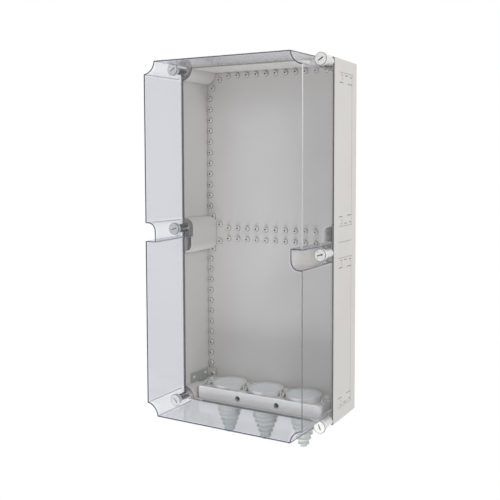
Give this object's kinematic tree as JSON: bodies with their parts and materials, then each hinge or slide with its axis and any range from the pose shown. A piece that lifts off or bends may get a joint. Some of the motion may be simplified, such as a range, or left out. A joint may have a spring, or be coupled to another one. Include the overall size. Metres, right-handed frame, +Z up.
{
  "type": "electrical enclosure",
  "caption": "Tall wall-mounted plastic enclosure: opaque tub, deep clear lift-off cover on quarter-turn fasteners, and stepped cable grommets in the bottom.",
  "frame": {"origin": "middle of the back, in the plane that lies on the wall", "axes": "+X right, +Y into the wall, +Z up; the cover faces -Y"},
  "size_m": [0.3826, 0.25, 0.8291],
  "materials": {
    "base_moulding": "fine satin moulding, warm light grey",
    "tray_moulding": "fine satin moulding, warm light grey",
    "clear_cover": "clear moulding with a faint blue tint, polished",
    "fastener_moulding": "satin moulding, off white",
    "seal": "soft matte",
    "grommet_rubber": "soft matte, pale blue grey",
    "bracket_metal": "zinc plated sheet",
    "screw_metal": "zinc plated",
    "brass": "turned"
  },
  "bodies": {
    "base": {"base": "base_moulding", "cover_gasket": "seal", "socket_inserts": "brass", "flange_tray": "tray_moulding", "flange_gasket": "seal", "cable_grommet_left": "grommet_rubber", "cable_grommet_centre": "grommet_rubber", "cable_grommet_right": "grommet_rubber", "flange_wedges": "tray_moulding", "bracket_left": "bracket_metal", "bracket_right": "bracket_metal", "bracket_screws": "screw_metal"},
    "cover": {"cover": "clear_cover", "fastener_seals": "seal"},
    "fastener_top_left": {"fastener_top_left": "fastener_moulding"},
    "fastener_top_right": {"fastener_top_right": "fastener_moulding"},
    "fastener_mid_left": {"fastener_mid_left": "fastener_moulding"},
    "fastener_mid_right": {"fastener_mid_right": "fastener_moulding"},
    "fastener_bottom_left": {"fastener_bottom_left": "fastener_moulding"},
    "fastener_bottom_right": {"fastener_bottom_right": "fastener_moulding"}
  },
  "joints": [
    {"name": "cover_lift_off", "type": "slide", "parent": "base", "child": "cover", "axis": [0, -1, 0], "range_m": [0, 0.2]},
    {"name": "fastener_top_left_turn", "type": "hinge", "parent": "cover", "child": "fastener_top_left", "pos_m": [-0.1783, -0.14, 0.3658], "axis": [0, 1, 0], "range_deg": [0, 90]},
    {"name": "fastener_top_right_turn", "type": "hinge", "parent": "cover", "child": "fastener_top_right", "pos_m": [0.1783, -0.14, 0.3658], "axis": [0, 1, 0], "range_deg": [0, 90]},
    {"name": "fastener_mid_left_turn", "type": "hinge", "parent": "cover", "child": "fastener_mid_left", "pos_m": [-0.1783, -0.14, 0.0185], "axis": [0, 1, 0], "range_deg": [0, 90]},
    {"name": "fastener_mid_right_turn", "type": "hinge", "parent": "cover", "child": "fastener_mid_right", "pos_m": [0.1783, -0.14, -0.0185], "axis": [0, 1, 0], "range_deg": [0, 90]},
    {"name": "fastener_bottom_left_turn", "type": "hinge", "parent": "cover", "child": "fastener_bottom_left", "pos_m": [-0.1783, -0.14, -0.3658], "axis": [0, 1, 0], "range_deg": [0, 90]},
    {"name": "fastener_bottom_right_turn", "type": "hinge", "parent": "cover", "child": "fastener_bottom_right", "pos_m": [0.1783, -0.14, -0.3658], "axis": [0, 1, 0], "range_deg": [0, 90]}
  ]
}
